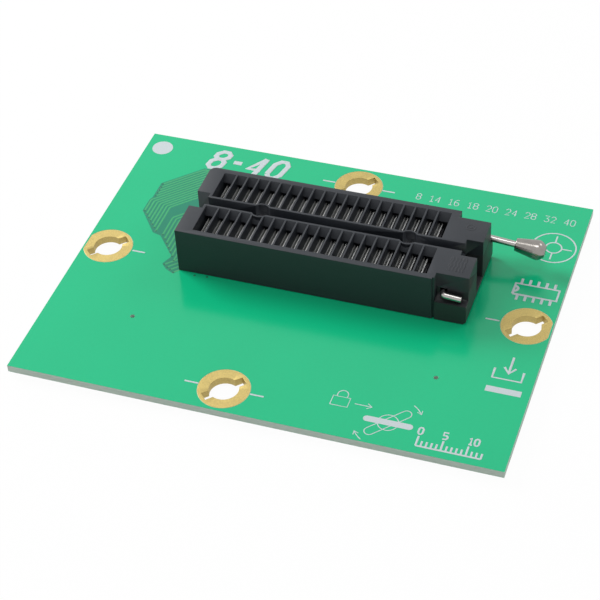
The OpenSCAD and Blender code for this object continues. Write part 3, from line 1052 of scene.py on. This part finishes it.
class SOCKETCARD_OT_housing(bpy.types.Operator):
    """Shows the cover, the base and the slider with rounded moulded edges"""

    bl_idname = "socketcard.housing"
    bl_label = "Housing"

    def guides(self, look, material):
        """Sloping lead-in guides at both ends of every slot, a little sunk into its walls."""
        sunk, middle = 0.03 * MM, (COVER_LOW.y + COVER_HIGH.y) / 2
        top = COVER_HIGH.z - 0.06 * MM
        foot = top - look.ramp_depth * MM
        first, wide = look.slot_first * MM, look.slot_end_width * MM
        pitch, divider = look.slot_pitch * MM, look.divider * MM
        second = first + wide + divider
        inner = CONTACTS - 2
        spans = ((first, wide, 1), (second, pitch - divider, inner), (second + inner * pitch, wide, 1))
        tree, parts = row_tree(), []
        for offset, inwards in ((look.slot_out, -1), (look.slot_in, 1)):
            for side in (1, -1):
                wall, way = middle + side * offset * MM, side * inwards
                back = wall - way * sunk
                section = [(back, top), (wall, top), (wall + way * look.ramp_reach * MM, foot), (back, foot)]
                for start, across, count in spans:
                    ends = (start - sunk, start + across + sunk)
                    ramp = skin("ramp", [[(x, y, z) for y, z in section] for x in ends], material)
                    parts.append(tree.row(ramp, pitch, count))
        guides = joined("lead_in_guides", parts)
        tidy(guides.data)
        settle(guides, "cover_plastic")

    def execute(self, context):
        look = looks().socket
        cover = plastic_material("cover_plastic", look.cover, marked=True)
        base = plastic_material("base_plastic", look.base)
        slider = plastic_material("slider_plastic", look.slider)
        edge, slit = look.edge * MM, look.slit * MM

        deck, corners = level_edge(COVER_HIGH.z), outer_upright(COVER_LOW, COVER_HIGH)
        shell = dressed_copy(
            "socket_cover", "housing_cover", edge, cover, "cover_plastic",
            lambda side: deck(side) or corners(side),
        )
        block = BASE_HIGH.x - look.end_block * MM
        carved(
            shell,
            (block - slit, COVER_LOW.y - MM, COVER_LOW.z - MM),
            (block + MM, COVER_LOW.y + slit, COVER_HIGH.z + MM),
        )
        crisp(shell, 20)

        end_tenth = BASE_HIGH.x - 0.1 * (BASE_HIGH.x - BASE_LOW.x)
        dressed_copy(
            "socket_base", "housing_base", edge, base, "base_plastic",
            lambda side: min(v.co.x for v in side.verts) > end_tenth and side.calc_length() > 0.5 * MM,
        )
        self.guides(look, cover)
        rib_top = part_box("slider_comb")[1].z
        dressed_copy(
            "slider_comb", "slider_body", edge * 0.6, slider, "slider_plastic",
            level_edge(rib_top), body=SLIDER_BODY,
        )
        return {"FINISHED"}


class SOCKETCARD_OT_screws(bpy.types.Operator):
    """Shows the two cover screws with softened edges and rounded, slotted heads"""

    bl_idname = "socketcard.screws"
    bl_label = "Screws"

    def execute(self, context):
        look = looks().socket
        metal = wire_material("screw_steel", look.screw, 0.22)
        radius, rise = look.head * MM, look.head_rise * MM
        edge, half_slot, deep = 0.04 * MM, 0.22 * MM, 0.5 * MM
        dome = [
            (rise * (0.62 + 0.32 * math.sin(a)), radius * (0.5 + 0.5 * math.cos(a))) for a in turn(0, 90, 8)
        ]
        profile = [(0.0, 0.0), (0.0, radius), *dome, (rise * 0.985, radius * 0.25), (rise, 0.0)]
        for side in ("left", "right"):
            dressed_copy(f"screw_{side}", f"cover_screw_{side}", edge, metal, "screw_steel")
            low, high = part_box(f"screw_{side}")
            x, y, foot = (low.x + high.x) / 2, (low.y + high.y) / 2, high.z - rise * 0.1
            top = foot + rise
            head = lathe(f"screw_head_{side}", profile, 40, metal, Matrix.Translation((x, y, foot)))
            carved(head, (x - radius, y - half_slot, top - deep), (x + radius, y + half_slot, top + MM))
            settle(crisp(head, 30), "screw_steel")
        return {"FINISHED"}


class SOCKETCARD_OT_contacts(bpy.types.Operator):
    """Grows the rows of formed contact blades"""

    bl_idname = "socketcard.contacts"
    bl_label = "Contacts"

    def leaf(self, name, look, low, high, material):
        """A formed leaf: a straight foot, and a top that leans from its partner and ends in a bead."""
        half, bead, lip, tall = (v * MM for v in (look.sheet / 2, look.bead, look.lip, look.lip_height))
        x, waist = low.x + half, high.z - tall
        centre = [(x, low.z + (waist - low.z) * r) for r in (0.0, 0.08, 0.2, 0.35, 0.5, 0.65, 0.78, 0.88)]
        centre += [
            (x + lip * (1 - math.cos(math.pi / 2 * s)), waist + (tall - 2 * bead) * s)
            for s in (0.0, 0.25, 0.5, 0.75, 1.0)
        ]
        crown = arc((centre[-1][0], high.z - bead), bead, 215, -35, 10)
        left = [(px - half, pz) for px, pz in centre]
        right = [(px + half, pz) for px, pz in reversed(centre)]
        return bar(name, left + crown + right, low.y, high.y, material)

    def execute(self, context):
        look = looks().socket
        metal = spring_material("contact_metal", look.contact)
        # The fixed blades get the contact colour at half strength: painted shade on the same plating as the spring
        # blades.
        painted_shade_metal = spring_material("fixed_contact_metal", scaled(look.contact, 0.5))
        tree, bead = row_tree(), look.fixed_bead * MM
        low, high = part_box("spring_blades_front")
        pitch = (high.x - low.x - (look.sheet + look.lip) * MM) / (CONTACTS - 1)
        for side in ("front", "rear"):
            low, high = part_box(f"spring_blades_{side}")
            leaves = self.leaf(f"spring_leaves_{side}", look, low, high, metal)
            crisp(tree.row(leaves, pitch), 40)
            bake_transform(leaves)
            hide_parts(f"spring_blades_{side}")

            low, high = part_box(f"fixed_blades_{side}")
            rim = circle((low.x + bead, high.z - bead), bead, 14)
            rolled = bar(f"fixed_tops_{side}", rim, low.y, high.y, painted_shade_metal)
            settle(crisp(tree.row(rolled, pitch), 40), "contact")
        paint(painted_shade_metal, "fixed_blades_front", "fixed_blades_rear")
        return {"FINISHED"}


class SOCKETCARD_OT_lever(bpy.types.Operator):
    """Bends the lever from one wire: short arm, shaft with crank, long arm"""

    bl_idname = "socketcard.lever"
    bl_label = "Lever wire"

    def arm(self, look, reach, side):
        """Points from beside the crank out to the arm's end."""
        bend = arc((look.bend, look.arm - look.bend), look.bend, 180, 90, 10)
        flat = [(0, look.cheek + 0.1), (0, (look.cheek + look.arm) / 2), *bend]
        flat += [(look.bend + (reach - look.bend) * s, look.arm) for s in (0.5, 1.0)]
        droop = Matrix.Rotation(look.droop, 4, "Y")
        return [SHAFT + droop @ (Vector((x, side * y, 0)) * MM) for x, y in flat]

    def execute(self, context):
        look = looks().lever
        metal = wire_material("lever_steel", look.wire_colour)
        radius = look.wire / 2 * MM
        half_swing = math.radians(LEVER_JOINT["range_deg"][1]) / 2
        throw = look.travel / (2 * math.sin(half_swing))
        crank = Vector((-look.travel / 2, 0, -throw * math.cos(half_swing))) * MM
        near, far = look.crank_half - 0.3, look.cheek - 0.1
        rise = [(near + (far - near) * a / math.pi, 0.5 + 0.5 * math.cos(a)) for a in turn(0, 180, 10)]
        middle = [
            SHAFT + Vector((0, y * MM, 0)) + crank * share
            for y, share in [(-y, share) for y, share in reversed(rise)] + rise
        ]
        into_knob = look.knob_start + look.knob_length - 1.2
        path = self.arm(look, look.short_arm, -1)[::-1] + middle + self.arm(look, into_knob, 1)
        wire = sweep("bent_wire", path, radius, 24, metal, radius * 0.22)
        settle(wire, "wire_steel", "lever_wire", body=LEVER_BODY)
        return {"FINISHED"}


class SOCKETCARD_OT_knob(bpy.types.Operator):
    """Turns the tapered knob with its rounded, dimpled end"""

    bl_idname = "socketcard.knob"
    bl_label = "Knob"

    def execute(self, context):
        look = looks().lever
        metal = turned_material("knob_metal", look.knob_colour)
        bore, corner = look.wire / 2 * 1.03, 0.14
        long, small, large = look.knob_length, look.knob_small, look.knob_large
        belly, shoulder, nose = long * 0.70, long * 0.77, 0.55 * large
        profile = [
            (0.45, 0.0), (0.45, bore), (0.0, bore + 0.05), (0.0, small - corner),
            *arc((corner, small - corner), corner, 180, 90, 4)[1:],
            *((corner + (belly - corner) * s, small + (large - small) * s) for s in (0.3, 0.6, 0.85, 0.95)),
            (belly + 0.3 * (shoulder - belly), large - 0.02), (shoulder - 0.1, large - 0.01),
            *(
                (shoulder + (long - shoulder) * s, large - (large - nose) * s ** 1.6 - 0.03)
                for s in (0.08, 0.2, 0.35, 0.5, 0.65, 0.8, 0.9)
            ),
            (long - 0.03, nose + 0.02), (long, nose - 0.2), (long - 0.05, nose * 0.5), (long - 0.12, 0.0),
        ]
        place = Matrix.Translation(SHAFT) @ Matrix.Rotation(look.droop, 4, "Y")
        place = place @ Matrix.Translation(Vector((look.knob_start, look.arm, 0)) * MM)
        place = place @ Matrix.Rotation(math.pi / 2, 4, "Y") @ Matrix.Scale(MM, 4)
        knob = lathe("turned_knob", profile, 48, metal, place)
        settle(knob, "knob_steel", "lever_knob", body=LEVER_BODY)
        return {"FINISHED"}


class SOCKETCARD_OT_stage(bpy.types.Operator):
    """Adds the pale floor, the studio lamps, the even world light and the camera"""

    bl_idname = "socketcard.stage"
    bl_label = "Stage"

    white = (1.0, 1.0, 1.0, 1.0)

    def show_white(self, nodes, plain, kind, share, sink):
        """Plain for the light; white, by the share, for the camera, a reflection and glass."""
        camera, glossy, glass = (
            nodes.node("ShaderNodeLightPath", output=f"Is {ray} Ray") for ray in ("Camera", "Glossy", "Transmission")
        )
        seen = camera.at_least(glossy).at_least(glass) * share
        white = nodes.node(kind, None, self.white, 1.0)
        blend = nodes.node("ShaderNodeMixShader", None, seen, plain, white)
        nodes.feed(nodes.tree.nodes[sink].inputs["Surface"], blend)

    def floor(self):
        """A wide pale sheet that the card's solder joints stand on."""
        shade = Shade("floor_paper", (0.86, 0.86, 0.86), Roughness=0.9)
        paper = Signal(shade, shade.surface.outputs[0])
        self.show_white(shade, paper, "ShaderNodeEmission", 0.97, "Material Output")
        half, low = 3.0, cad_box[0].z - 0.02 * MM
        corners = [(x, y, low) for x, y in rectangle((-half, -half), (half, half))]
        add_mesh("floor", corners, [], [(0, 1, 2, 3)], shade.material)

    def sky(self, look):
        """Even light from above and behind that fades low down in front; white wherever it is seen."""
        world = bpy.data.worlds.new("studio")
        world.use_nodes = True
        nodes = Nodes(world.node_tree)
        _, behind, up = nodes.parts(nodes.node("ShaderNodeTexCoord", output="Generated"))
        strength = (behind * 0.35 + up).within(-0.1, 0.5, look.world * look.dusk, look.world)
        even = nodes.node("ShaderNodeBackground", None, self.white, strength)
        self.show_white(nodes, even, "ShaderNodeBackground", 1.0, "World Output")
        bpy.context.scene.world = world

    def lamp(self, name, place, aim, size, watts):
        """A rectangular lamp that faces its aim."""
        data = bpy.data.lights.new(name, "AREA")
        data.shape = "RECTANGLE"
        data.size, data.size_y = size
        data.energy = watts
        lamp = linked(name, data)
        lamp.location = place
        lamp.rotation_euler = (Vector(aim) - Vector(place)).to_track_quat("-Z", "Y").to_euler()

    def camera(self, look):
        """The camera, aimed just in front of the socket's middle."""
        data = bpy.data.cameras.new("camera")
        data.lens = look.lens
        data.sensor_width = 36.0
        data.clip_start, data.clip_end = 0.01, 20.0
        camera = linked("camera", data)
        aim = Vector((-0.68, -5.2, 2.8)) * MM
        level = math.cos(look.elevation)
        back = Vector((
            math.sin(look.azimuth) * level, -math.cos(look.azimuth) * level, math.sin(look.elevation),
        ))
        camera.location = aim + back * look.distance * MM
        facing = (-back).to_track_quat("-Z", "Y").to_matrix().to_4x4()
        camera.rotation_euler = (facing @ Matrix.Rotation(-look.roll, 4, "Z")).to_euler()
        bpy.context.scene.camera = camera

    def execute(self, context):
        look = looks().stage
        self.floor()
        self.sky(look)
        self.lamp("key_lamp", (-0.66, 0.22, 0.46), (0, 0.01, 0), (0.34, 0.34), look.key_power)
        self.lamp("top_lamp", (0.0, -0.1, 0.8), (0, 0, 0), (0.4, 0.25), look.top_power)
        self.lamp("side_lamp", (0.46, 0.42, 0.55), (0, 0.01, 0), (0.3, 0.3), look.side_power)
        self.camera(look)
        context.scene.view_settings.view_transform = "Standard"
        return {"FINISHED"}


# ---------------------------------------------------------------- panel


class SOCKETCARD_PG_looks(bpy.types.PropertyGroup):
    card: bpy.props.PointerProperty(type=SOCKETCARD_PG_card, name="Card", description="Card and its finishes")
    socket: bpy.props.PointerProperty(type=SOCKETCARD_PG_socket, name="Socket", description="Housing and contacts")
    lever: bpy.props.PointerProperty(type=SOCKETCARD_PG_lever, name="Lever", description="Wire lever and knob")
    stage: bpy.props.PointerProperty(type=SOCKETCARD_PG_stage, name="Stage", description="Lamps and camera")


MAKERS = (
    SOCKETCARD_OT_card,
    SOCKETCARD_OT_rings,
    SOCKETCARD_OT_traces,
    SOCKETCARD_OT_print,
    SOCKETCARD_OT_solder,
    SOCKETCARD_OT_housing,
    SOCKETCARD_OT_screws,
    SOCKETCARD_OT_contacts,
    SOCKETCARD_OT_lever,
    SOCKETCARD_OT_knob,
    SOCKETCARD_OT_stage,
)


class SOCKETCARD_PT_panel(bpy.types.Panel):
    """Lists the pieces of the socket card"""

    bl_idname = "SOCKETCARD_PT_panel"
    bl_label = "Socket Card"
    bl_space_type = "VIEW_3D"
    bl_region_type = "UI"
    bl_category = "Socket Card"

    def draw(self, context):
        for maker in MAKERS:
            self.layout.operator(maker.bl_idname)
        for group in ("card", "socket", "lever", "stage"):
            box = self.layout.box()
            settings = getattr(context.scene.socket_card, group)
            for name in settings.__annotations__:
                box.prop(settings, name)


CLASSES = (
    SOCKETCARD_PG_card,
    SOCKETCARD_PG_socket,
    SOCKETCARD_PG_lever,
    SOCKETCARD_PG_stage,
    SOCKETCARD_PG_looks,
    *MAKERS,
    SOCKETCARD_PT_panel,
)


def register():
    for item in CLASSES:
        bpy.utils.register_class(item)
    bpy.types.Scene.socket_card = bpy.props.PointerProperty(type=SOCKETCARD_PG_looks)


def unregister():
    del bpy.types.Scene.socket_card
    for item in reversed(CLASSES):
        bpy.utils.unregister_class(item)


def main():
    """Builds everything in order."""
    register()
    for maker in MAKERS:
        group, name = maker.bl_idname.split(".")
        getattr(getattr(bpy.ops, group), name)()


if __name__ == "__main__":
    main()
